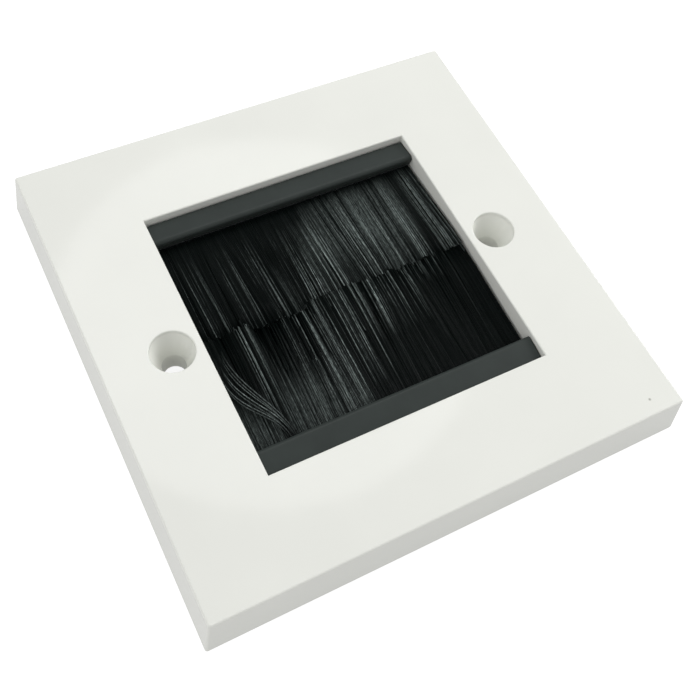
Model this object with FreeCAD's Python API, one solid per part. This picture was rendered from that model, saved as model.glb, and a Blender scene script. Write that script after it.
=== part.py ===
import FreeCAD, Part
import math
import os

# Brush cable grommet on a one-gang wall plate, in millimetres.
# The plate lies on its back: +Z points out of its front face, X runs along the line of its two screw
# holes, and the origin is the middle of the back plane that meets the wall.
# The upper brush is on the +Y side. The lower brush is the same moulding turned half round about Z.

# Face plate, one moulding with a hollow back
plate_side = 86.0
plate_depth = 9.0
side_lean = 1.15
plan_corner_r = 0.45
front_edge_r = 0.35
face_thickness = 2.4
rim_thickness = 2.2

# Opening in the plate, with a collar behind it that the holders snap into
aperture = 50.2
aperture_edge_r = 0.3
collar_thickness = 1.6
collar_recess = 0.8
ledge_reach = 1.2

# Screw holes: a short counterbore, a deep countersink and a clearance hole for an M3.5 screw
hole_spacing = 60.3
hole_r = 2.0
head_r = 3.7
counterbore_depth = 0.8
countersink_depth = 5.0
hole_edge_r = 0.2
boss_wall = 1.3

# Stiffening ribs behind the face, two on each side and one from each boss to the rim
rib_thickness = 1.4
rib_recess = 1.5
rib_offset = 20.0

# Brush holder, the black bar along one side of the opening
holder_gap = 0.15
holder_width = 4.7
holder_recess = 0.8
holder_fall = 0.65
holder_edge_r = 0.4
holder_back = 1.2
holder_base = 1.2
nose_r = 0.7
nose_height = 2.1
nose_undercut = 0.35
lip_thickness = 0.55
lip_cover = 0.3

# Snap lugs on the holder's back, in windows of the collar
lug_offset = 11.0
lug_width = 6.0
lug_height = 2.0
lug_flat = 0.7
lug_reach = 0.9
lug_rise = 0.5
lug_gap = 0.1

# Strip brush: a rolled channel, crimped on filaments that are folded round a core wire
channel_gauge = 0.4
channel_height = 3.0
channel_bend_r = 0.9
channel_fit = 0.05
crimp_length = 0.5
mouth_setback = 0.15
core_r = 0.45
fold_thickness = 0.5
bristle_fit = 0.02
brush_end_gap = 0.2

# Bristles, in locks that spread from the channel's mouth and end in ragged tips
lock_count = 44
lock_gap = 0.12
lock_embed = 0.3
lock_ridge = 0.22
layer_gap = 0.12
spread_length = 6.0
spread_half = 2.0
spread_vary = 0.18
tip_fan = 0.004
tip_sway = 0.35
sway_length = 17.0
tip_gap = 0.3
tip_ragged = 0.9
back_ragged = 0.15

# Line where the upper and the lower tips meet, with a stretch where upper locks lie over it,
# and a stretch where the lower front locks are short
meet_slope = 0.03
back_drop = 1.6
over_centre = 6.0
over_half_width = 4.0
over_depth = 3.5
short_start = -16.0
short_stop = -6.0
short_by = 7.0

# Steps of the two series that make lengths and heights uneven from lock to lock
length_step = 0.618
height_step = 0.367

# Two places closer than this count as one
same_place = 1e-4

# Heights and places that follow from the sizes above
aperture_half = aperture / 2
face_underside = plate_depth - face_thickness
lean_rate = side_lean / plate_depth
boss_r = head_r + boss_wall
slot_height = channel_height + 2 * channel_fit
mouth_height = slot_height - 2 * lip_cover
nose_top = plate_depth - holder_recess
brush_z = nose_top - nose_height - mouth_height / 2
holder_foot = brush_z - slot_height / 2 - holder_base
holder_length = aperture - 2 * holder_gap
brush_length = holder_length - 2 * brush_end_gap
lug_bottom = holder_foot + lug_rise
lug_top = lug_bottom + lug_height

# Distances from the opening's middle, for the upper brush
back_y = aperture_half - holder_gap
nose_y = back_y - holder_width
slot_y = back_y - holder_back
lip_front_y = nose_y + nose_undercut
lip_inner_y = lip_front_y + lip_thickness
channel_back_y = slot_y - channel_fit
shoulder_y = lip_inner_y + channel_fit
mouth_y = lip_front_y + mouth_setback
core_y = channel_back_y - channel_gauge - fold_thickness - core_r
neck_half = mouth_height / 2 - channel_fit
root_half = neck_half - channel_gauge - bristle_fit


def vec(x, y, z):
    return FreeCAD.Vector(x, y, z)


def outline(corners):
    """Closed wire through (point, radius) corners, with a tangent arc where the radius isn't 0."""
    bends = []
    for k, (point, radius) in enumerate(corners):
        back = (corners[k - 1][0] - point).normalize()
        ahead = (corners[(k + 1) % len(corners)][0] - point).normalize()
        half_angle = back.getAngle(ahead) / 2
        run = radius / math.tan(half_angle)
        inward = (back + ahead).normalize()
        middle = point + inward * (radius / math.sin(half_angle) - radius)
        bends.append((point + back * run, middle, point + ahead * run, radius))
    edges = []
    for k, (start, middle, stop, radius) in enumerate(bends):
        if radius:
            edges.append(Part.Arc(start, middle, stop).toShape())
        edges.append(Part.LineSegment(stop, bends[(k + 1) % len(bends)][0]).toShape())
    return Part.Wire(edges)


def block(x0, x1, y0, y1, z0, z1):
    return Part.makeBox(x1 - x0, y1 - y0, z1 - z0, vec(x0, y0, z0))


def bar(corners, length):
    """Section in Y and Z, as (y, z, radius) corners, drawn out along X about the middle."""
    wire = outline([(vec(-length / 2, y, z), radius) for y, z, radius in corners])
    return Part.Face(wire).extrude(vec(length, 0, 0))


def loop(points):
    """Closed wire, straight from each point to the next."""
    return Part.makePolygon(points + points[:1])


def skin(sections):
    """Solid through sections of as many corners each, with flat faces from one section to the next.

    The corners go round anticlockwise, seen from the last section's side.
    """
    faces = [Part.Face(loop(sections[0][::-1])), Part.Face(loop(sections[-1]))]
    for here, there in zip(sections, sections[1:]):
        for k in range(len(here)):
            faces.append(Part.Face(loop([here[k - 1], here[k], there[k], there[k - 1]])))
    return Part.makeSolid(Part.makeShell(faces))


def square(half, z):
    """Corners of a square about the Z axis."""
    return [vec(sx * half, sy * half, z) for sx, sy in ((-1, -1), (1, -1), (1, 1), (-1, 1))]


def frustum(low_half, high_half, height, radius):
    """Square block that stands on the back plane, with leaning sides and rounded upright edges."""
    body = skin([square(low_half, 0), square(high_half, height)])
    upright = [edge for edge in body.Edges if edge.BoundBox.ZLength > height - same_place]
    return body.makeFillet(radius, upright)


def turned(shape, quarters):
    """Copy of the shape, turned about the Z axis by so many quarter turns."""
    return shape.rotated(vec(0, 0, 0), vec(0, 0, 1), 90 * quarters)


def face_edges(shape, reach):
    """Edges in the plate's front face, no further out than reach along X and Y."""
    found = []
    for edge in shape.Edges:
        box = edge.BoundBox
        in_face = box.ZMin > plate_depth - same_place and box.ZMax < plate_depth + same_place
        furthest = max(abs(box.XMin), abs(box.XMax), abs(box.YMin), abs(box.YMax))
        if in_face and furthest < reach + same_place:
            found.append(edge)
    return found


def plate_shell():
    """Outer form of the plate, hollowed from the back, with its front edge rounded."""
    back_half = plate_side / 2
    front_half = back_half - side_lean
    body = frustum(back_half, front_half, plate_depth, plan_corner_r)
    body = body.makeFillet(front_edge_r, face_edges(body, front_half))
    low_half = back_half - rim_thickness
    high_half = low_half - lean_rate * face_underside
    return body.cut(frustum(low_half, high_half, face_underside, plan_corner_r))


def plate_ribs():
    """Ribs from the collar to the rim, the same on each of the four sides, and one beside each boss."""
    inner = aperture_half + collar_thickness / 2
    outer = plate_side / 2 - rim_thickness / 2 - side_lean
    ribs = []
    for quarter in range(4):
        for x in (-rib_offset, rib_offset):
            x0 = x - rib_thickness / 2
            rib = block(x0, x0 + rib_thickness, inner, outer, rib_recess, face_underside)
            ribs.append(turned(rib, quarter))
    start = hole_spacing / 2 + head_r
    y0 = -rib_thickness / 2
    boss_rib = block(start, outer, y0, y0 + rib_thickness, rib_recess, face_underside)
    return ribs + [boss_rib, turned(boss_rib, 2)]


def screw_hole():
    """Solid of one screw hole: counterbore, countersink and clearance hole, about its own axis."""
    mouth_z = plate_depth
    cone_top = plate_depth - counterbore_depth
    cone_foot = plate_depth - countersink_depth
    corners = [(0, 0), (hole_r, 0), (hole_r, cone_foot), (head_r, cone_top), (head_r, mouth_z), (0, mouth_z)]
    section = Part.Face(loop([vec(r, 0, z) for r, z in corners]))
    return section.revolve(vec(0, 0, 0), vec(0, 0, 1), 360)


def face_plate():
    """White moulding: shell, collar, bosses and ribs, with the opening, screw holes, ledges and windows."""
    collar_half = aperture_half + collar_thickness
    collar = block(-collar_half, collar_half, -collar_half, collar_half, collar_recess, face_underside)
    hole_places = [vec(side * hole_spacing / 2, 0, 0) for side in (-1, 1)]
    bosses = [Part.makeCylinder(boss_r, face_underside, place) for place in hole_places]
    plate = plate_shell().multiFuse([collar] + bosses + plate_ribs()).removeSplitter()

    plate = plate.cut(block(-aperture_half, aperture_half, -aperture_half, aperture_half, 0, plate_depth))
    holes = [screw_hole().translated(place) for place in hole_places]
    plate = plate.cut(Part.makeCompound(holes)).removeSplitter()
    hole_edges = [edge for edge in face_edges(plate, hole_spacing / 2 + head_r) if edge.isClosed()]
    plate = plate.makeFillet(hole_edge_r, hole_edges)
    plate = plate.makeFillet(aperture_edge_r, face_edges(plate, aperture_half))

    ledge_y = aperture_half - ledge_reach
    ledge = block(-aperture_half, aperture_half, ledge_y, aperture_half, collar_recess, holder_foot)
    plate = plate.multiFuse([ledge, turned(ledge, 2)]).removeSplitter()
    window_low = lug_bottom - lug_gap
    window_high = lug_top + lug_gap
    for x in (-lug_offset, lug_offset):
        x0 = x - lug_width / 2 - lug_gap
        x1 = x + lug_width / 2 + lug_gap
        window = block(x0, x1, aperture_half, collar_half, window_low, window_high)
        plate = plate.cut(Part.makeCompound([window, turned(window, 2)]))
    return plate


def brush_holder():
    """Black bar: a rounded nose over a slot that the strip brush slides into, with snap lugs on its back."""
    wall_top = nose_top - holder_fall
    lip_low = brush_z - mouth_height / 2
    lip_high = brush_z + mouth_height / 2
    slot_low = brush_z - slot_height / 2
    slot_high = brush_z + slot_height / 2
    holder = bar([
        (back_y, holder_foot, 0),
        (back_y, wall_top, holder_edge_r),
        (nose_y, nose_top, nose_r),
        (lip_front_y, lip_high, 0),
        (lip_inner_y, lip_high, 0),
        (lip_inner_y, slot_high, 0),
        (slot_y, slot_high, 0),
        (slot_y, slot_low, 0),
        (lip_inner_y, slot_low, 0),
        (lip_inner_y, lip_low, 0),
        (lip_front_y, lip_low, 0),
        (lip_front_y, holder_foot, holder_edge_r),
    ], holder_length)
    tip_y = back_y + lug_reach
    lug = bar([
        (back_y, lug_bottom, 0),
        (tip_y, lug_top - lug_flat, 0),
        (tip_y, lug_top, 0),
        (back_y, lug_top, 0),
    ], lug_width)
    lugs = [lug.translated(vec(x, 0, 0)) for x in (-lug_offset, lug_offset)]
    return holder.multiFuse(lugs).removeSplitter()


def channel_outline(inset):
    """Corners of the channel's section, moved in by inset all round apart from its open mouth."""
    half = channel_height / 2 - inset
    neck = neck_half - inset
    back = channel_back_y - inset
    crimp_y = shoulder_y + crimp_length
    bend = channel_bend_r - inset
    low = [(mouth_y, -neck, 0), (shoulder_y, -neck, 0), (crimp_y, -half, 0), (back, -half, bend)]
    high = [(y, -z, radius) for y, z, radius in reversed(low)]
    return [(y, brush_z + z, radius) for y, z, radius in low + high]


def brush_channel():
    """Rolled steel strip, bent to a U and crimped to a narrower mouth."""
    return bar(channel_outline(0), brush_length).cut(bar(channel_outline(channel_gauge), brush_length))


def core_wire():
    """Wire that the filaments are folded round."""
    return Part.makeCylinder(core_r, brush_length, vec(-brush_length / 2, core_y, brush_z), vec(1, 0, 0))


def series(k, step):
    """Uneven value from -1 to 1 for place k, the same on each run."""
    return 2 * ((k * step) % 1.0) - 1


def front_meeting(x):
    """How far up the front tips meet at x. Upper locks lie over the line in one stretch."""
    over = math.exp(-((x - over_centre) / over_half_width) ** 2)
    return meet_slope * x - over_depth * over


def back_meeting(x):
    """How far up the back tips meet at x, lower than in front, so that no light passes between the rows."""
    return front_meeting(x) - back_drop


def tip_place(x):
    """Where a filament that starts at x ends: spread a little to the sides, and swayed."""
    return x * (1 + tip_fan) + tip_sway * math.sin(2 * math.pi * x / sway_length)


def lock_section(y, left, right, top):
    """Corners of a lock's five-sided section at y, with a ridge along its top."""
    left = left + lock_gap / 2
    right = right - lock_gap / 2
    low = brush_z + layer_gap / 2
    shoulder = top - lock_ridge * (right - left)
    corners = [(left, low), (right, low), (right, shoulder), ((left + right) / 2, top), (left, shoulder)]
    return [vec(x, y, z) for x, z in corners]


def lock_layer(side, meeting, shift, ragged, has_short_stretch):
    """Locks of one layer, in the upper brush's place. Side is 1 for the upper brush and -1 for the lower."""
    pitch = brush_length / lock_count
    locks = []
    for k in range(lock_count):
        left = k * pitch - brush_length / 2
        right = left + pitch
        tip_left = side * tip_place(side * left)
        tip_right = side * tip_place(side * right)
        x = side * (left + right) / 2
        uneven = ragged * (1 + series(k + shift, length_step)) / 2
        tip_y = side * meeting(x) + tip_gap / 2 + uneven
        if has_short_stretch and short_start < x < short_stop:
            tip_y = tip_y + short_by
        mouth_top = brush_z + root_half
        top = brush_z + spread_half + spread_vary * series(k + shift, height_step)
        start_top = mouth_top - lock_embed * (top - mouth_top) / spread_length
        locks.append(skin([
            lock_section(mouth_y + lock_embed, left, right, start_top),
            lock_section(mouth_y - spread_length, left, right, top),
            lock_section(tip_y, tip_left, tip_right, top),
        ]))
    return locks


def bristles(side):
    """Filaments of one brush: the folds inside the channel and a front and a back layer of locks."""
    folds = bar(channel_outline(channel_gauge + bristle_fit), brush_length)
    folds = folds.cut(Part.makeCylinder(
        core_r + bristle_fit, brush_length, vec(-brush_length / 2, core_y, brush_z), vec(1, 0, 0)))
    front = lock_layer(side, front_meeting, 0, tip_ragged, side < 0)
    back = lock_layer(side, back_meeting, lock_count, back_ragged, False)
    back = [lock.mirror(vec(0, 0, brush_z), vec(0, 0, 1)) for lock in back]
    return folds.multiFuse(front + back)


def export(name, shape):
    shape.exportStep(os.path.join("parts", name + ".step"))


def export_brush(name, side):
    """The four pieces of one brush. The lower brush is built in the upper one's place, then turned round."""
    pieces = {
        "brush_holder": brush_holder(),
        "brush_channel": brush_channel(),
        "core_wire": core_wire(),
        "bristles": bristles(side),
    }
    for piece, shape in pieces.items():
        export(name + "_" + piece, turned(shape, 1 - side))


os.makedirs("parts", exist_ok=True)
export("face_plate", face_plate())
export_brush("upper", 1)
export_brush("lower", -1)
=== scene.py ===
"""Brush cable grommet: the finish of each piece, the brush filaments and a small studio, round the frame.

Values are in millimetres where a name or a comment says so, and MM turns them into Blender's metres.
X runs along the line of the screw holes, +Y is the upper brush's side and +Z points out of the front face.
"""
import math
from typing import NamedTuple

import bpy
import numpy as np
from mathutils import Matrix, Vector


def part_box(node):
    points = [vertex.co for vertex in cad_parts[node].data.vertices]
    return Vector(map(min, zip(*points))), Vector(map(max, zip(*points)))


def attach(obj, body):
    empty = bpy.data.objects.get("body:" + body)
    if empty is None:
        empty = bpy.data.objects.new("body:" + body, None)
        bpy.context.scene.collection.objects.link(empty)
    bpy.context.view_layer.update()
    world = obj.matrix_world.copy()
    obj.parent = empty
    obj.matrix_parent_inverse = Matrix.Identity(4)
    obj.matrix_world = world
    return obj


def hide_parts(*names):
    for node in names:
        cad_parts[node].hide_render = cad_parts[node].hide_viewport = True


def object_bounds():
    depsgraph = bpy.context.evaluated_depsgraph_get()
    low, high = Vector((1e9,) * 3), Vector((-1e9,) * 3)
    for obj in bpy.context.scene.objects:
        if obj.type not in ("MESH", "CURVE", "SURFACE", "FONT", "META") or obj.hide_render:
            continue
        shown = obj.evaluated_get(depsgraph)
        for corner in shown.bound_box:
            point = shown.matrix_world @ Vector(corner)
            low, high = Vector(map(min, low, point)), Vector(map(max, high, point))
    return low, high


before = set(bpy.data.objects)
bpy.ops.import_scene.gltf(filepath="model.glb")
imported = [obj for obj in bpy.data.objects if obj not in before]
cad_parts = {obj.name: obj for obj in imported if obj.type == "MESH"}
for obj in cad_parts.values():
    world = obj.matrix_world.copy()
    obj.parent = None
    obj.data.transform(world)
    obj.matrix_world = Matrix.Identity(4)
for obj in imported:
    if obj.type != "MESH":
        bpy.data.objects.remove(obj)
cad_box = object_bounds()

bl_info = {
    "name": "Brush cable grommet",
    "version": (1, 0, 0),
    "blender": (4, 5, 0),
    "location": "3D View > Sidebar > Grommet",
    "description": "Finishes, brush filaments and studio for a wall plate with a brush opening",
    "category": "Object",
}

MM = 0.001
WHITE = (1.0, 1.0, 1.0)
BODY = "root"


def linear(hex_colour):
    """Linear red, green and blue of an sRGB hex colour."""
    shares = [int(hex_colour[k:k + 2], 16) / 255 for k in (1, 3, 5)]
    return tuple(c / 12.92 if c <= 0.04045 else ((c + 0.055) / 1.055) ** 2.4 for c in shares)


def opaque(colour, factor=1.0):
    """A colour socket's four values, for a colour made lighter or darker by a factor."""
    return (*(min(1.0, c * factor) for c in colour), 1.0)


def per_mm(size):
    """Texture scale that gives a pattern of that size in millimetres, on coordinates in metres."""
    return 1 / (size * MM)


def per_mm_each(sizes):
    """The same along X, Y and Z."""
    return [per_mm(size) for size in sizes]


def smooth(value, low, high):
    """0 below low, 1 above high and a smooth step between them, also where low is the greater."""
    share = np.clip((value - low) / (high - low), 0, 1)
    return share * share * (3 - 2 * share)


def window(value, low, high, soft):
    """1 between low and high, 0 outside them, with soft edges."""
    return smooth(value, low - soft, low + soft) * smooth(value, high + soft, high - soft)


def add_node(tree, kind, inputs=None, **settings):
    """One node: settings go to its attributes, inputs to its sockets, as a value or another node's socket.

    Sockets go by name, or by number where a node has several of one name.
    """
    node = tree.nodes.new(kind)
    for name, value in settings.items():
        setattr(node, name, value)
    for name, value in (inputs or {}).items():
        if isinstance(value, bpy.types.NodeSocket):
            tree.links.new(value, node.inputs[name])
        else:
            node.inputs[name].default_value = value
    return node


def new_material(name):
    """Empty node material, and its node tree."""
    material = bpy.data.materials.new(name)
    material.use_nodes = True
    material.node_tree.nodes.clear()
    return material, material.node_tree


def finish_shader(tree, inputs):
    """Principled shader on the material's output."""
    shader = add_node(tree, "ShaderNodeBsdfPrincipled", inputs)
    add_node(tree, "ShaderNodeOutputMaterial", {"Surface": shader.outputs["BSDF"]})


def dress(nodes, material):
    """Gives CAD nodes one material all over."""
    for name in nodes:
        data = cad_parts[name].data
        data.materials.clear()
        data.materials.append(material)


# Settings

class PlateSettings(bpy.types.PropertyGroup):
    """White face plate."""
    colour: bpy.props.FloatVectorProperty(
        name="Plate", description="Colour of the moulding", subtype="COLOR", size=3, min=0, max=1,
        default=linear("#E6E7E1"))
    speck_colour: bpy.props.FloatVectorProperty(
        name="Speck", description="Colour of the speck in the moulding", subtype="COLOR", size=3, min=0,
        max=1, default=linear("#ACACA4"))
    roughness: bpy.props.FloatProperty(
        name="Roughness", description="Gloss of the mould, lower is glossier", default=0.07, min=0, max=1,
        subtype="FACTOR")


class HolderSettings(bpy.types.PropertyGroup):
    """Black bars that hold the brushes."""
    colour: bpy.props.FloatVectorProperty(
        name="Holder", description="Colour of the bars", subtype="COLOR", size=3, min=0, max=1,
        default=linear("#2E3432"))
    roughness: bpy.props.FloatProperty(
        name="Roughness", description="Satin of the bars", default=0.42, min=0, max=1, subtype="FACTOR")


class StripSettings(bpy.types.PropertyGroup):
    """Rolled channel and core wire of each strip brush."""
    colour: bpy.props.FloatVectorProperty(
        name="Steel", description="Colour of the zinc coat", subtype="COLOR", size=3, min=0, max=1,
        default=linear("#C3C8CC"))


class BristleSettings(bpy.types.PropertyGroup):
    """Brush filaments."""
    dark: bpy.props.FloatVectorProperty(
        name="Dark filaments", description="Colour of most filaments", subtype="COLOR", size=3, min=0, max=1,
        default=linear("#050B0A"))
    # Colour painted on the filaments as a sheen where they catch the light: a painted highlight
    light: bpy.props.FloatVectorProperty(
        name="Light filaments", description="Colour of the scuffed filaments that catch the light",
        subtype="COLOR", size=3, min=0, max=1, default=linear("#8B9693"))
    count: bpy.props.IntProperty(
        name="Filaments", description="Filaments in each brush", default=6000, min=500, max=6100)
    diameter: bpy.props.FloatProperty(
        name="Diameter", description="Diameter of a filament", default=0.2 * MM, min=0.05 * MM, max=0.5 * MM,
        unit="LENGTH", precision=5)
    clump_low: bpy.props.FloatProperty(
        name="Narrowest lock", description="Width of the narrowest lock of filaments", default=0.5 * MM,
        min=0.2 * MM, unit="LENGTH", precision=5)
    clump_high: bpy.props.FloatProperty(
        name="Widest lock", description="Width of the widest lock of filaments", default=2.2 * MM,
        min=0.3 * MM, unit="LENGTH", precision=5)


class StageSettings(bpy.types.PropertyGroup):
    """Floor, light and camera."""
    floor_colour: bpy.props.FloatVectorProperty(
        name="Floor", description="Colour of the floor", subtype="COLOR", size=3, min=0, max=1,
        default=linear("#8C8C8C"))
    floor_glow: bpy.props.FloatProperty(
        name="Floor glow", description="How bright the floor shows, which washes the shadow out",
        default=0.84, min=0)
    floor_throw: bpy.props.FloatProperty(
        name="Floor throw", description="Light that the floor throws on the plate's sides",
        default=0.48, min=0)
    under_throw: bpy.props.FloatProperty(
        name="Throw under the plate", description="Light from the floor that the plate covers",
        default=0.28, min=0)
    backdrop: bpy.props.FloatProperty(
        name="Backdrop", description="How bright the far backdrop shows above the floor",
        default=0.9, min=0)
    sky_high: bpy.props.FloatProperty(
        name="Light from the upper left", description="Brightness that the tent adds there",
        default=0.72, min=0)
    sky_low: bpy.props.FloatProperty(
        name="Light all round", description="Brightness of the tent on every side", default=0.51, min=0)
    softbox: bpy.props.FloatProperty(
        name="Softbox", description="Brightness of the round softbox", default=2.3, min=0)
    side_light: bpy.props.FloatProperty(
        name="Side light", description="Brightness of the light at the right", default=5.5, min=0)
    lens: bpy.props.FloatProperty(
        name="Focal length", description="Camera lens on a 36 mm sensor, in millimetres",
        default=48.5, min=10, subtype="DISTANCE_CAMERA")


# Materials

# Sizes of patterns in millimetres; tints and glosses are factors on a piece's own colour and roughness

# Cloud in the white, and the waviness that the mould leaves, from crest to crest
CLOUD = 14.0
CLOUD_TINTS = (0.97, 1.03)
CLOUD_GLOSSES = (0.8, 1.2)
WAVE = 3.0
WAVE_HEIGHT = 0.1
WAVE_STRENGTH = 0.03
# Speck near the right corner of the face: its place, how far it is dark, and where it has faded
SPECK_PLACE = (36.6, -39.2, 9.0)
SPECK_DARK = 0.08
SPECK_FADE = 0.32


def urea_moulding(look):
    """Urea, moulded to a gloss: opaque warm white with faint cloud, wavy reflections and one grey speck."""
    material, tree = new_material("urea_moulding_gloss_white")
    place = add_node(tree, "ShaderNodeTexCoord").outputs["Object"]
    cloud = add_node(tree, "ShaderNodeTexNoise", {
        "Vector": place, "Scale": per_mm(CLOUD), "Detail": 3, "Roughness": 0.5})
    dark, light = (opaque(look.colour, factor) for factor in CLOUD_TINTS)
    tint = add_node(tree, "ShaderNodeMix", {
        0: cloud.outputs["Fac"], 6: dark, 7: light}, data_type="RGBA")
    away = add_node(tree, "ShaderNodeVectorMath", {
        0: place, 1: Vector(SPECK_PLACE) * MM}, operation="DISTANCE")
    speck = add_node(tree, "ShaderNodeMapRange", {
        "Value": away.outputs["Value"], "From Min": SPECK_DARK * MM, "From Max": SPECK_FADE * MM,
        "To Min": 1, "To Max": 0})
    colour = add_node(tree, "ShaderNodeMix", {
        0: speck.outputs["Result"], 6: tint.outputs[2], 7: opaque(look.speck_colour)}, data_type="RGBA")
    wave = add_node(tree, "ShaderNodeTexNoise", {"Vector": place, "Scale": per_mm(WAVE), "Detail": 1})
    bump = add_node(tree, "ShaderNodeBump", {
        "Height": wave.outputs["Fac"], "Strength": WAVE_STRENGTH, "Distance": WAVE_HEIGHT * MM})
    low, high = (look.roughness * factor for factor in CLOUD_GLOSSES)
    gloss = add_node(tree, "ShaderNodeMapRange", {
        "Value": cloud.outputs["Fac"], "To Min": low, "To Max": high})
    finish_shader(tree, {
        "Base Color": colour.outputs[2], "Roughness": gloss.outputs["Result"], "IOR": 1.54,
        "Specular IOR Level": 0.25, "Normal": bump.outputs["Normal"]})
    return material


# Lines that the stoned mould leaves, as length, width and height, drawn coarser than the real ones so that
# they show; and scuffs
STONE_LINE = (12.0, 0.25, 0.25)
STONE_GLOSSES = (0.8, 1.25)
STONE_HEIGHT = 0.03
STONE_STRENGTH = 0.15
BAR_SCUFF = 5.0
BAR_SCUFF_TINTS = (0.8, 1.2)


def satin_moulding(look):
    """Black ABS, moulded in a stoned mould: a satin dark grey with faint lines along X and small scuffs."""
    material, tree = new_material("abs_moulding_satin_black")
    place = add_node(tree, "ShaderNodeTexCoord").outputs["Object"]
    stoned = add_node(tree, "ShaderNodeMapping", {"Vector": place, "Scale": per_mm_each(STONE_LINE)})
    lines = add_node(tree, "ShaderNodeTexNoise", {
        "Vector": stoned.outputs["Vector"], "Scale": 1, "Detail": 2})
    patch_noise = add_node(tree, "ShaderNodeTexNoise", {"Vector": place, "Scale": per_mm(BAR_SCUFF), "Detail": 5})
    dark, light = (opaque(look.colour, factor) for factor in BAR_SCUFF_TINTS)
    tint = add_node(tree, "ShaderNodeMix", {
        0: patch_noise.outputs["Fac"], 6: dark, 7: light}, data_type="RGBA")
    bump = add_node(tree, "ShaderNodeBump", {
        "Height": lines.outputs["Fac"], "Strength": STONE_STRENGTH, "Distance": STONE_HEIGHT * MM})
    low, high = (look.roughness * factor for factor in STONE_GLOSSES)
    gloss = add_node(tree, "ShaderNodeMapRange", {
        "Value": lines.outputs["Fac"], "To Min": low, "To Max": high})
    finish_shader(tree, {
        "Base Color": tint.outputs[2], "Roughness": gloss.outputs["Result"], "IOR": 1.53,
        "Specular IOR Level": 0.22, "Normal": bump.outputs["Normal"]})
    return material


# Lines that the rolls leave, as length, width and height, with their least and most roughness; and spangle
ROLL_LINE = (8.0, 0.12, 0.12)
ROLL_ROUGHNESS = (0.28, 0.5)
ROLL_HEIGHT = 0.02
ROLL_STRENGTH = 0.2
SPANGLE = 1.5
SPANGLE_TINT = 0.8


def zinc_strip(look):
    """Zinc-plated steel strip, rolled: a bright grey metal with fine lines along it and a faint spangle."""
    material, tree = new_material("zinc_plated_steel_rolled")
    place = add_node(tree, "ShaderNodeTexCoord").outputs["Object"]
    rolled = add_node(tree, "ShaderNodeMapping", {"Vector": place, "Scale": per_mm_each(ROLL_LINE)})
    lines = add_node(tree, "ShaderNodeTexNoise", {
        "Vector": rolled.outputs["Vector"], "Scale": 1, "Detail": 3})
    spangle = add_node(tree, "ShaderNodeTexVoronoi", {"Vector": place, "Scale": per_mm(SPANGLE)})
    tint = add_node(tree, "ShaderNodeMix", {
        0: spangle.outputs["Distance"], 6: opaque(look.colour),
        7: opaque(look.colour, SPANGLE_TINT)}, data_type="RGBA")
    low, high = ROLL_ROUGHNESS
    gloss = add_node(tree, "ShaderNodeMapRange", {
        "Value": lines.outputs["Fac"], "To Min": low, "To Max": high})
    bump = add_node(tree, "ShaderNodeBump", {
        "Height": lines.outputs["Fac"], "Strength": ROLL_STRENGTH, "Distance": ROLL_HEIGHT * MM})
    finish_shader(tree, {
        "Base Color": tint.outputs[2], "Metallic": 1.0, "Roughness": gloss.outputs["Result"],
        "Normal": bump.outputs["Normal"]})
    return material


# Noise that breaks the painted sheen along each filament into patches, as width, length and depth; the part
# of the noise that makes them, and the factors on the grey at its two ends
SHEEN_BREAKS = (0.12, 0.9, 0.12)
SHEEN_BREAK_NOISE = (0.35, 0.65)
SHEEN_BREAK_GREYS = (0.3, 1.3)


def drawn_nylon(look):
    """Black nylon, drawn to filaments: near black, with painted sheen on the filaments that catch light."""
    material, tree = new_material("nylon_filament_drawn_black")
    # The tone attribute is the painted sheen at each point of the filaments
    tone = add_node(tree, "ShaderNodeAttribute", attribute_name="tone")
    place = add_node(tree, "ShaderNodeTexCoord").outputs["Object"]
    along = add_node(tree, "ShaderNodeMapping", {"Vector": place, "Scale": per_mm_each(SHEEN_BREAKS)})
    patch_noise = add_node(tree, "ShaderNodeTexNoise", {
        "Vector": along.outputs["Vector"], "Scale": 1, "Detail": 2})
    patchy = add_node(tree, "ShaderNodeMapRange", {
        "Value": patch_noise.outputs["Fac"], "From Min": SHEEN_BREAK_NOISE[0], "From Max": SHEEN_BREAK_NOISE[1],
        "To Min": SHEEN_BREAK_GREYS[0], "To Max": SHEEN_BREAK_GREYS[1]})
    share = add_node(tree, "ShaderNodeMath", {
        0: tone.outputs["Fac"], 1: patchy.outputs["Result"]}, operation="MULTIPLY", use_clamp=True)
    colour = add_node(tree, "ShaderNodeMix", {
        0: share.outputs["Value"], 6: opaque(look.dark), 7: opaque(look.light)}, data_type="RGBA")
    finish_shader(tree, {
        "Base Color": colour.outputs[2], "Roughness": 0.45, "IOR": 1.53, "Specular IOR Level": 0.07})
    return material


def lit_floor(look, throw):
    """White acrylic sheet, lit from below: evenly white to the eye, but it throws less light than that."""
    material, tree = new_material("acrylic_sheet_white")
    ray = add_node(tree, "ShaderNodeLightPath")
    glow = add_node(tree, "ShaderNodeMapRange", {
        "Value": ray.outputs["Is Camera Ray"], "To Min": throw, "To Max": look.floor_glow})
    finish_shader(tree, {
        "Base Color": opaque(look.floor_colour), "Roughness": 0.6,
        "Emission Color": opaque(WHITE), "Emission Strength": glow.outputs["Result"]})
    return material


# Filaments

# A filament is a tube with this many sides. Its points lie at these shares of the way from the strip's mouth
# to where the brush has its full thickness. In millimetres: the room that they leave before its tip, and how
# far short of the bristles' root it starts
TUBE_SIDES = 3
SPREAD_SHARES = (0.0, 0.2, 0.6, 1.0)
END_ROOM = 1.0
INSIDE = 0.2
# Crowding of the filaments at the brush's two faces: 1 is even, and less leaves fewer between the faces
CROWDING = 0.5
# Filaments from this depth on, where 0 is the brush's middle and 1 its front, are the face that shows locks
FACE_DEPTH = 0.35

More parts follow.
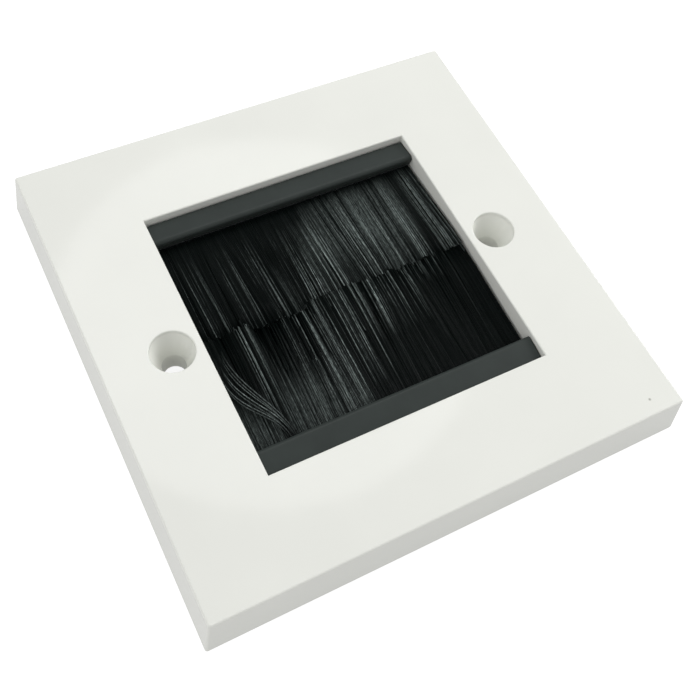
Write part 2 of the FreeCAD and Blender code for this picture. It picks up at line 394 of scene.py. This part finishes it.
# How uneven the filaments lie, in millimetres at their tips: the locks, each filament, a slow sway along the
# brush and the way in which the whole brush draws together
LOCK_LIFT = 0.12
OWN_LIFT = 0.07
LOCK_LEAN = 0.18
OWN_LEAN = 0.16
LOCK_LONGER = 0.05
SWAY = 0.35
SWAY_LENGTH = 17.0
DRAW_IN = 0.2
# How far the upper brush lifts over the lower one
OVER = 0.08


class Seeds(NamedTuple):
    """Seeds of one brush: how its filaments lie, and how the sides of their tubes are turned."""
    lie: int
    turn: int


SEEDS = {"upper": Seeds(11, 1), "lower": Seeds(23, 2)}
STRAY_SEED = 7

# Stretches of the line where the brushes meet, as ends in millimetres along X, and the room in which one
# turns into the next: a fringe at the left with the lower brush on top, a patch where it is worn, the rest
PATCH_LEFT = -16.3
PATCH_RIGHT = -6.3
TURN = 0.5
# Some of the patch's filaments are whole: fewer of them up to this line than beyond it
WHOLE_UP_TO = -12.4
WHOLE_SHARES = (0.1, 0.2)
# Some filaments of the upper brush reach over the lower one, by so much on average, up to the longest: more
# of them up to this line than beyond it
LONG_UP_TO = 5.0
LONG_SHARES = (0.4, 0.04)
LONG_REACH = 2.5
LONGEST_PAST = 8.0
# Between these places along X the brushes run into each other: the upper one's lift drops by this share
LEVEL_LEFT = -3.5
LEVEL_RIGHT = 12.0
LEVEL_DROP = 1.6


class Tips(NamedTuple):
    """How far past the middle of the opening filaments reach, and how uneven that is, in millimetres."""
    past: float
    uneven: float


# Tips in front, in the order fringe, patch, rest
FRONT_TIPS = {
    "upper": (Tips(-0.5, 0.2), Tips(0.35, 0.08), Tips(-0.8, 0.08)),
    "lower": (Tips(0.7, 0.3), Tips(-8.5, 1.5), Tips(1.0, 0.15)),
}
# Tips behind, all along
BACK_TIPS = {"upper": Tips(3.0, 0.4), "lower": Tips(0.4, 0.4)}


class Sheen(NamedTuple):
    """Painted sheen, grey on some filaments where they catch light: its ends in millimetres, and its look.

    Left and right ends are given on the line y = 0 and lean along X by so much for each millimetre along Y.
    Sides are soft, top and foot fade, level is the grey of the greyest filament and share how many are grey.
    """
    left: float
    right: float
    left_lean: float
    right_lean: float
    top: float
    foot: float
    soft: float
    fade: float
    level: float
    share: float


# Painted sheen of each brush: grey painted on filaments where they catch the light
SHEENS = {
    "upper": (
        # Haze in the middle and at the tips, streaks through it, and a paler stretch in its right half
        Sheen(-6.5, 18.2, 0.50, 0.03, 15.0, 8.5, 2.2, 5.5, 0.62, 1.00),
        Sheen(-2.5, 16.0, 0.00, 0.00, 3.0, -9.0, 1.5, 3.0, 0.26, 1.00),
        Sheen(-6.5, 18.2, 0.42, 0.03, 15.5, -9.0, 1.6, 3.0, 0.95, 0.28),
        Sheen(11.0, 16.0, 0.00, 0.03, 15.0, -9.0, 1.0, 3.0, 0.42, 1.00),
        # Column by the right wall
        Sheen(20.6, 24.6, 0.03, 0.00, 19.4, -2.0, 0.8, 1.2, 0.75, 0.60),
        # Single locks at the left
        Sheen(-10.1, -9.6, -0.06, -0.06, 15.5, -1.0, 0.25, 1.2, 0.90, 0.60),
        Sheen(-8.6, -6.8, 0.00, 0.00, 3.5, -1.0, 0.5, 3.0, 0.40, 0.90),
        Sheen(-5.4, -4.8, 0.13, 0.13, 9.0, -1.0, 0.3, 2.0, 0.85, 0.50),
        Sheen(-6.8, -6.4, 0.00, 0.00, 15.8, 13.0, 0.2, 0.6, 0.90, 0.80),
        Sheen(-20.2, -18.8, -0.13, -0.13, 9.5, 1.0, 0.5, 3.0, 0.55, 0.30),
        # Thin streaks in the dark left half
        Sheen(-25.0, -5.0, 0.00, 0.40, 13.0, -9.0, 1.0, 5.0, 0.45, 0.25),
    ),
    "lower": (
        # Strands below the seam, cut off by a slant and denser at the left, and strands over the patch
        Sheen(-6.8, 18.4, 0.00, 1.55, 2.0, -20.0, 0.8, 1.2, 0.85, 0.32),
        Sheen(-6.8, 5.0, 0.00, 0.50, 2.0, -20.0, 0.8, 1.2, 0.85, 0.46),
        Sheen(-12.4, -3.0, 0.00, 0.00, 1.0, -20.0, 0.6, 1.2, 0.62, 0.30),
        # Haze by the strip, the fringe, the corner by the left wall and a trace all along
        Sheen(-17.6, -3.6, 0.00, 0.00, -14.0, -20.0, 0.6, 5.0, 0.33, 1.00),
        Sheen(-19.3, -17.0, 0.00, 0.00, 2.0, -9.0, 0.4, 4.0, 0.75, 0.50),
        Sheen(-25.0, -19.5, 0.00, 0.00, -13.0, -20.0, 0.8, 3.0, 0.36, 1.00),
        Sheen(-25.0, 25.0, 0.00, 0.00, 2.0, -20.0, 1.0, 1.2, 0.03, 0.20),
    ),
}

# Stray lock of the lower brush, in millimetres: its filaments leave the strip between two places along X,
# swing to the left in an S and end between two places by the left wall; each end has a handle that bends it
STRAY_COUNT = 7
STRAY_POINTS = 16
STRAY_ROOTS = (-17.6, -18.6)
STRAY_ENDS = ((-22.8, -2.0), (-24.6, -6.8))
STRAY_ROOT_HANDLE = (0.2, 5.2)
STRAY_END_HANDLE = (-0.5, -6.8)
# Shares of its length at which it has risen to the brush's face, from which its grey fades and, past its
# tip, where there would be none left; and its greys, a painted sheen that grows as it rises to the face
STRAY_RISEN = 0.4
STRAY_FADES = 0.6
STRAY_FADED = 1.1
STRAY_TONES = (0.3, 0.7)


class Brush:
    """Places of one brush in millimetres, read from its CAD nodes."""

    # Half thickness of the filaments at the strip's mouth, against the strip's half height
    MOUTH_SHARE = 0.5
    # Distance from the mouth over which they spread to their full thickness, and room left for uneven ones
    SPREAD = 17.0
    UNEVEN = 0.25

    def __init__(self, name):
        self.name = name
        low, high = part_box(name + "_brush_channel")
        self.side = 1 if low.y > 0 else -1
        self.half_length = high.x / MM
        self.mouth = min(abs(low.y), abs(high.y)) / MM
        self.middle = (low.z + high.z) / 2 / MM
        self.mouth_half = (high.z - low.z) / 2 / MM * self.MOUTH_SHARE
        low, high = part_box(name + "_bristles")
        self.root = max(abs(low.y), abs(high.y)) / MM
        self.spread_half = (high.z - low.z) / 2 / MM - self.UNEVEN


def stretches(x):
    """How much of the fringe, the patch and the rest there is at x."""
    fringe = smooth(x, PATCH_LEFT + TURN, PATCH_LEFT - TURN)
    rest = smooth(x, PATCH_RIGHT - TURN, PATCH_RIGHT + TURN)
    return np.stack([fringe, 1 - fringe - rest, rest])


def tip_reach(brush, x, front, rng):
    """How far past the middle of the opening each filament ends, seen from its own strip."""
    # Whole filaments of the patch end where the rest does
    whole = rng.random(len(x)) < np.where(x < WHOLE_UP_TO, *WHOLE_SHARES)
    whole &= (brush.side < 0) & (x > PATCH_LEFT)
    all_rest = np.array([[0], [0], [1]])
    parts = np.where(whole, all_rest, stretches(x))
    past, uneven = np.array(FRONT_TIPS[brush.name]).T @ parts
    past = np.where(front, past, BACK_TIPS[brush.name].past)
    uneven = np.where(front, uneven, BACK_TIPS[brush.name].uneven)
    past = past + uneven * (rng.exponential(1, len(x)) - 1)
    share = np.where(x < LONG_UP_TO, *LONG_SHARES)
    long = (brush.side > 0) & (x > PATCH_RIGHT) & (rng.random(len(x)) < share)
    return np.minimum(past + long * rng.exponential(LONG_REACH, len(x)), LONGEST_PAST)


def sheen_tone(sheens, x, y, own):
    """Grey of the painted sheen at each point, from where it lies and the filament's own number from 0 to 1.
    """
    tone = np.zeros_like(x)
    for sheen in sheens:
        left = sheen.left + sheen.left_lean * y
        right = sheen.right + sheen.right_lean * y
        across = window(x, left, right, sheen.soft)
        along = smooth(y, sheen.foot - sheen.fade, sheen.foot) * smooth(y, sheen.top + sheen.fade, sheen.top)
        tone = np.maximum(tone, sheen.level * across * along * smooth(own, 1 - sheen.share, 1))
    return tone


def filament_lines(brush, look):
    """Centre lines of a brush's filaments as (filament, point, xyz) in millimetres, and their painted sheen.
    """
    rng = np.random.default_rng(SEEDS[brush.name].lie)
    count = look.count
    half = brush.half_length
    start = ((np.arange(count) + rng.random(count)) / count * 2 - 1) * half
    depth = 2 * rng.beta(CROWDING, CROWDING, count) - 1
    front = depth > 0

    # Locks show in the face in front, and the filaments behind close the partings
    locks = int(2 * half / (look.clump_low / MM)) + 1
    edges = np.cumsum(rng.uniform(look.clump_low / MM, look.clump_high / MM, locks)) - half
    lock = np.searchsorted(edges, start)
    face = depth > FACE_DEPTH
    lift = face * rng.normal(0, LOCK_LIFT, locks)[lock] + rng.normal(0, OWN_LIFT, count)
    lean = face * rng.normal(0, LOCK_LEAN, locks)[lock] + rng.normal(0, OWN_LEAN, count)
    longer = face * rng.normal(0, LOCK_LONGER, locks)[lock]
    drift = SWAY * np.sin(2 * math.pi * start / SWAY_LENGTH) - DRAW_IN * start / half + lean
    length = brush.mouth + tip_reach(brush, start, front, rng) + longer

    # Points on each: inside the strip, in the spread from its mouth on, and at the tip
    inside = INSIDE - (brush.root - brush.mouth)
    spread = np.outer(np.minimum(length - END_ROOM, brush.SPREAD), SPREAD_SHARES)
    reach = np.hstack([np.full((count, 1), inside), spread, length[:, None]])
    share = np.clip(reach / length[:, None], 0, 1)
    opening = np.clip(reach / brush.SPREAD, 0, 1)
    bundle = brush.mouth_half + (brush.spread_half - brush.mouth_half) * opening
    # The upper brush lies over the lower one, but for the fringe and the level stretch
    fringe, _, _ = stretches(start)
    level = window(start, LEVEL_LEFT, LEVEL_RIGHT, TURN)
    over = OVER * brush.side * (1 - 2 * fringe - LEVEL_DROP * level)
    edge = half - look.diameter / MM
    lines = np.empty((*reach.shape, 3))
    lines[..., 0] = np.clip(start[:, None] + drift[:, None] * share, -edge, edge)
    lines[..., 1] = brush.side * (brush.mouth - reach)
    lines[..., 2] = (brush.middle + depth[:, None] * bundle + lift[:, None] * opening
                     + over[:, None] * share ** 2)
    tone = sheen_tone(SHEENS[brush.name], lines[..., 0], lines[..., 1], rng.random((count, 1)))
    # Only the face in front gets the painted sheen
    return lines, tone * smooth(depth, 0, FACE_DEPTH)[:, None]


def stray_lines(brush):
    """Centre lines and painted sheen of the stray lock, from the lower strip's mouth up along the left wall.
    """
    rng = np.random.default_rng(STRAY_SEED)
    along = np.linspace(0, 1, STRAY_POINTS)
    roots = np.linspace(*STRAY_ROOTS, STRAY_COUNT)
    ends = np.linspace(*STRAY_ENDS, STRAY_COUNT)
    lines, tones = [], []
    for root, end in zip(roots, ends):
        foot = np.array([root + rng.normal(0, OWN_LEAN), -brush.mouth])
        tip = end + rng.normal(0, OWN_LEAN, 2)
        bends = [foot, foot + STRAY_ROOT_HANDLE, tip + STRAY_END_HANDLE, tip]
        last = len(bends) - 1
        plan = sum(np.outer(math.comb(last, k) * along ** k * (1 - along) ** (last - k), bend)
                   for k, bend in enumerate(bends))
        risen = smooth(along, 0, STRAY_RISEN)
        rise = brush.spread_half - brush.mouth_half + OVER
        height = brush.mouth_half + rise * risen + rng.normal(0, OWN_LIFT)
        lines.append(np.column_stack([plan, brush.middle + height]))
        tones.append(rng.uniform(*STRAY_TONES) * risen * smooth(along, STRAY_FADED, STRAY_FADES))
    return np.array(lines), np.array(tones)


def tube_faces(lines, radius, rng):
    """Vertices and faces of closed tubes along lines of as many points each."""
    count, points, _ = lines.shape
    turn = rng.uniform(0, 2 * math.pi, (count, 1, 1)) + np.arange(TUBE_SIDES) * 2 * math.pi / TUBE_SIDES
    ring = np.stack([np.cos(turn), np.zeros_like(turn), np.sin(turn)], axis=-1)
    vertices = lines[:, :, None, :] + radius * ring
    number = np.arange(count * points * TUBE_SIDES).reshape(count, points, TUBE_SIDES)
    here, there = number[:, :-1], number[:, 1:]
    walls = np.stack([here, np.roll(here, -1, axis=2), np.roll(there, -1, axis=2), there], axis=-1)
    caps = np.concatenate([number[:, 0, ::-1], number[:, -1]])
    return vertices.reshape(-1, 3), walls.reshape(-1, 4), caps


def filament_piece(name, groups, radius, material, seed):
    """One mesh piece of tubes, from groups of lines in millimetres with each point's tone."""
    rng = np.random.default_rng(seed)
    vertices, faces, tones = [], [], []
    for lines, tone in groups:
        first = sum(len(part) for part in vertices)
        places, walls, caps = tube_faces(lines, radius, rng)
        vertices.append(places * MM)
        faces += (walls + first).tolist() + (caps + first).tolist()
        tones.append(np.repeat(tone.reshape(-1), TUBE_SIDES))
    mesh = bpy.data.meshes.new(name)
    mesh.from_pydata(np.concatenate(vertices), [], faces)
    # Round walls and flat ends
    mesh.polygons.foreach_set("use_smooth", [len(face) > TUBE_SIDES for face in faces])
    layer = mesh.attributes.new("tone", "FLOAT", "POINT")
    layer.data.foreach_set("value", np.concatenate(tones).astype(np.float32))
    mesh.materials.append(material)
    piece = bpy.data.objects.new(name, mesh)
    bpy.context.scene.collection.objects.link(piece)
    return piece


# Operators

class GROMMET_OT_finish_plate(bpy.types.Operator):
    """Gives the face plate its gloss white moulding"""
    bl_idname = "grommet.finish_plate"
    bl_label = "Finish plate"

    def execute(self, context):
        dress(["face_plate"], urea_moulding(context.scene.grommet_plate))
        return {"FINISHED"}


class GROMMET_OT_finish_holders(bpy.types.Operator):
    """Gives the two brush holders their satin black"""
    bl_idname = "grommet.finish_holders"
    bl_label = "Finish holders"

    def execute(self, context):
        dress(["upper_brush_holder", "lower_brush_holder"], satin_moulding(context.scene.grommet_holder))
        return {"FINISHED"}


class GROMMET_OT_finish_strips(bpy.types.Operator):
    """Gives the channels and core wires of both strip brushes their zinc"""
    bl_idname = "grommet.finish_strips"
    bl_label = "Finish strips"

    def execute(self, context):
        nodes = [side + piece for side in ("upper_", "lower_") for piece in ("brush_channel", "core_wire")]
        dress(nodes, zinc_strip(context.scene.grommet_strip))
        return {"FINISHED"}


class GROMMET_OT_lay_bristles(bpy.types.Operator):
    """Lays the filaments of both brushes in place of their plain solids"""
    bl_idname = "grommet.lay_bristles"
    bl_label = "Lay bristles"

    def execute(self, context):
        look = context.scene.grommet_bristle
        material = drawn_nylon(look)
        for name in ("upper", "lower"):
            brush = Brush(name)
            groups = [filament_lines(brush, look)]
            if brush.side < 0:
                groups.append(stray_lines(brush))
            radius = look.diameter / 2 / MM
            piece = filament_piece(name + "_filaments", groups, radius, material, SEEDS[name].turn)
            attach(piece, BODY)
            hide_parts(name + "_bristles")
            dress([name + "_bristles"], material)
        return {"FINISHED"}


class GROMMET_OT_set_stage(bpy.types.Operator):
    """Makes the floor, the light tent, the two lights and the camera"""
    bl_idname = "grommet.set_stage"
    bl_label = "Set stage"

    # Camera, in millimetres and degrees: place, compass angle from +Y to +X, fall below the horizon, roll
    CAMERA_PLACE = (-49.63, -68.95, 142.19)
    CAMERA_HEADING = 38.16
    CAMERA_FALL = 61.12
    CAMERA_ROLL = 12.6
    # Brightest way of the light tent, and how fast its light falls off from there
    TENT_TOP = (-1.2, 0.0, 1.0)
    TENT_FALL = 3.0
    # Round softbox that hangs level beyond the upper brush, and one at the right that faces the plate, in
    # millimetres
    SOFTBOX_PLACE = (227, 457, 869)
    SOFTBOX_DIAMETER = 520
    SIDE_PLACE = (570, 60, 320)
    SIDE_DIAMETER = 400
    # Floor, in millimetres: half its side, its drop below the plate, and how far inside the plate's edge its
    # covered middle ends
    FLOOR_HALF = 4000
    FLOOR_DROP = 0.05
    FLOOR_MARGIN = 3
    # The camera's sensor, in millimetres
    SENSOR = 36

    def execute(self, context):
        look = context.scene.grommet_stage
        context.scene.view_settings.view_transform = "Standard"
        self.floor(context, look)
        self.tent(context, look)
        self.round_light(context, "softbox", self.SOFTBOX_PLACE, self.SOFTBOX_DIAMETER, look.softbox)
        side = self.round_light(context, "side_light", self.SIDE_PLACE, self.SIDE_DIAMETER, look.side_light)
        # A light shines along its own -Z, so +Z points away from the plate
        side.rotation_mode = "QUATERNION"
        side.rotation_quaternion = Vector(self.SIDE_PLACE).to_track_quat("Z", "Y")
        self.camera(context, look)
        return {"FINISHED"}

    def floor(self, context, look):
        """Sheet whose middle, which the plate covers, throws less light than the rest."""
        height = cad_box[0].z - self.FLOOR_DROP * MM
        under = min(cad_box[1].x, cad_box[1].y) - self.FLOOR_MARGIN * MM
        corners = [(x * half, y * half, height) for half in (under, self.FLOOR_HALF * MM)
                   for x, y in ((-1, -1), (1, -1), (1, 1), (-1, 1))]
        rim = [(k, k + 4, (k + 1) % 4 + 4, (k + 1) % 4) for k in range(4)]
        mesh = bpy.data.meshes.new("floor")
        mesh.from_pydata(corners, [], [(0, 1, 2, 3)] + rim)
        mesh.materials.append(lit_floor(look, look.under_throw))
        mesh.materials.append(lit_floor(look, look.floor_throw))
        # The first face is the middle, and the others are the rim
        for face in mesh.polygons:
            face.material_index = min(face.index, 1)
        floor = bpy.data.objects.new("floor", mesh)
        context.scene.collection.objects.link(floor)

    def tent(self, context, look):
        """Soft light from all round, brightest from the upper left."""
        world = bpy.data.worlds.new("light_tent")
        context.scene.world = world
        world.use_nodes = True
        tree = world.node_tree
        tree.nodes.clear()
        way = add_node(tree, "ShaderNodeTexCoord").outputs["Generated"]
        toward = add_node(tree, "ShaderNodeVectorMath", {
            0: way, 1: Vector(self.TENT_TOP).normalized()}, operation="DOT_PRODUCT")
        above = add_node(tree, "ShaderNodeMath", {0: toward.outputs["Value"], 1: 0.0}, operation="MAXIMUM")
        falling = add_node(tree, "ShaderNodeMath", {
            0: above.outputs["Value"], 1: self.TENT_FALL}, operation="POWER")
        light = add_node(tree, "ShaderNodeMath", {
            0: falling.outputs["Value"], 1: look.sky_high, 2: look.sky_low}, operation="MULTIPLY_ADD")
        # Seen straight on, the tent is an even backdrop
        ray = add_node(tree, "ShaderNodeLightPath")
        strength = add_node(tree, "ShaderNodeMix", {
            0: ray.outputs["Is Camera Ray"], 2: light.outputs["Value"], 3: look.backdrop}, data_type="FLOAT")
        shade = add_node(tree, "ShaderNodeBackground", {
            "Color": opaque(WHITE), "Strength": strength.outputs["Result"]})
        add_node(tree, "ShaderNodeOutputWorld", {"Surface": shade.outputs["Background"]})

    def round_light(self, context, name, place, diameter, radiance):
        """Round area light that hangs level, with the power that gives its disc that radiance."""
        data = bpy.data.lights.new(name, "AREA")
        data.shape = "DISK"
        data.size = diameter * MM
        data.energy = radiance * (math.pi * data.size / 2) ** 2
        light = bpy.data.objects.new(name, data)
        light.location = Vector(place) * MM
        context.scene.collection.objects.link(light)
        return light

    def camera(self, context, look):
        """Camera at the place and angle from which the plate is seen, with all of it sharp."""
        angles = (self.CAMERA_HEADING, self.CAMERA_FALL, self.CAMERA_ROLL)
        heading, fall, roll = (math.radians(angle) for angle in angles)
        ahead = Vector((
            math.sin(heading) * math.cos(fall), math.cos(heading) * math.cos(fall), -math.sin(fall)))
        level = ahead.cross(Vector((0, 0, 1))).normalized()
        upright = level.cross(ahead)
        right = math.cos(roll) * level + math.sin(roll) * upright
        up = math.cos(roll) * upright - math.sin(roll) * level
        data = bpy.data.cameras.new("camera")
        data.lens = look.lens
        data.sensor_width = self.SENSOR
        data.clip_start = MM
        camera = bpy.data.objects.new("camera", data)
        context.scene.collection.objects.link(camera)
        turn = Matrix((right, up, -ahead)).transposed().to_4x4()
        camera.matrix_world = Matrix.Translation(Vector(self.CAMERA_PLACE) * MM) @ turn
        context.scene.camera = camera


class GROMMET_PT_panel(bpy.types.Panel):
    """Lists the steps and their settings"""
    bl_label = "Brush cable grommet"
    bl_space_type = "VIEW_3D"
    bl_region_type = "UI"
    bl_category = "Grommet"

    def draw(self, context):
        for operator, group in STEPS:
            box = self.layout.box()
            settings = getattr(context.scene, group)
            for name in settings.__annotations__:
                box.prop(settings, name)
            box.operator(operator.bl_idname)


STEPS = (
    (GROMMET_OT_finish_plate, "grommet_plate"),
    (GROMMET_OT_finish_holders, "grommet_holder"),
    (GROMMET_OT_finish_strips, "grommet_strip"),
    (GROMMET_OT_lay_bristles, "grommet_bristle"),
    (GROMMET_OT_set_stage, "grommet_stage"),
)
SETTINGS = {
    "grommet_plate": PlateSettings,
    "grommet_holder": HolderSettings,
    "grommet_strip": StripSettings,
    "grommet_bristle": BristleSettings,
    "grommet_stage": StageSettings,
}


def register():
    for name, group in SETTINGS.items():
        bpy.utils.register_class(group)
        setattr(bpy.types.Scene, name, bpy.props.PointerProperty(type=group))
    for operator, _ in STEPS:
        bpy.utils.register_class(operator)
    bpy.utils.register_class(GROMMET_PT_panel)


def unregister():
    bpy.utils.unregister_class(GROMMET_PT_panel)
    for operator, _ in reversed(STEPS):
        bpy.utils.unregister_class(operator)
    for name, group in reversed(SETTINGS.items()):
        delattr(bpy.types.Scene, name)
        bpy.utils.unregister_class(group)


def main():
    register()
    bpy.ops.grommet.finish_plate()
    bpy.ops.grommet.finish_holders()
    bpy.ops.grommet.finish_strips()
    bpy.ops.grommet.lay_bristles()
    bpy.ops.grommet.set_stage()


if __name__ == "__main__":
    main()
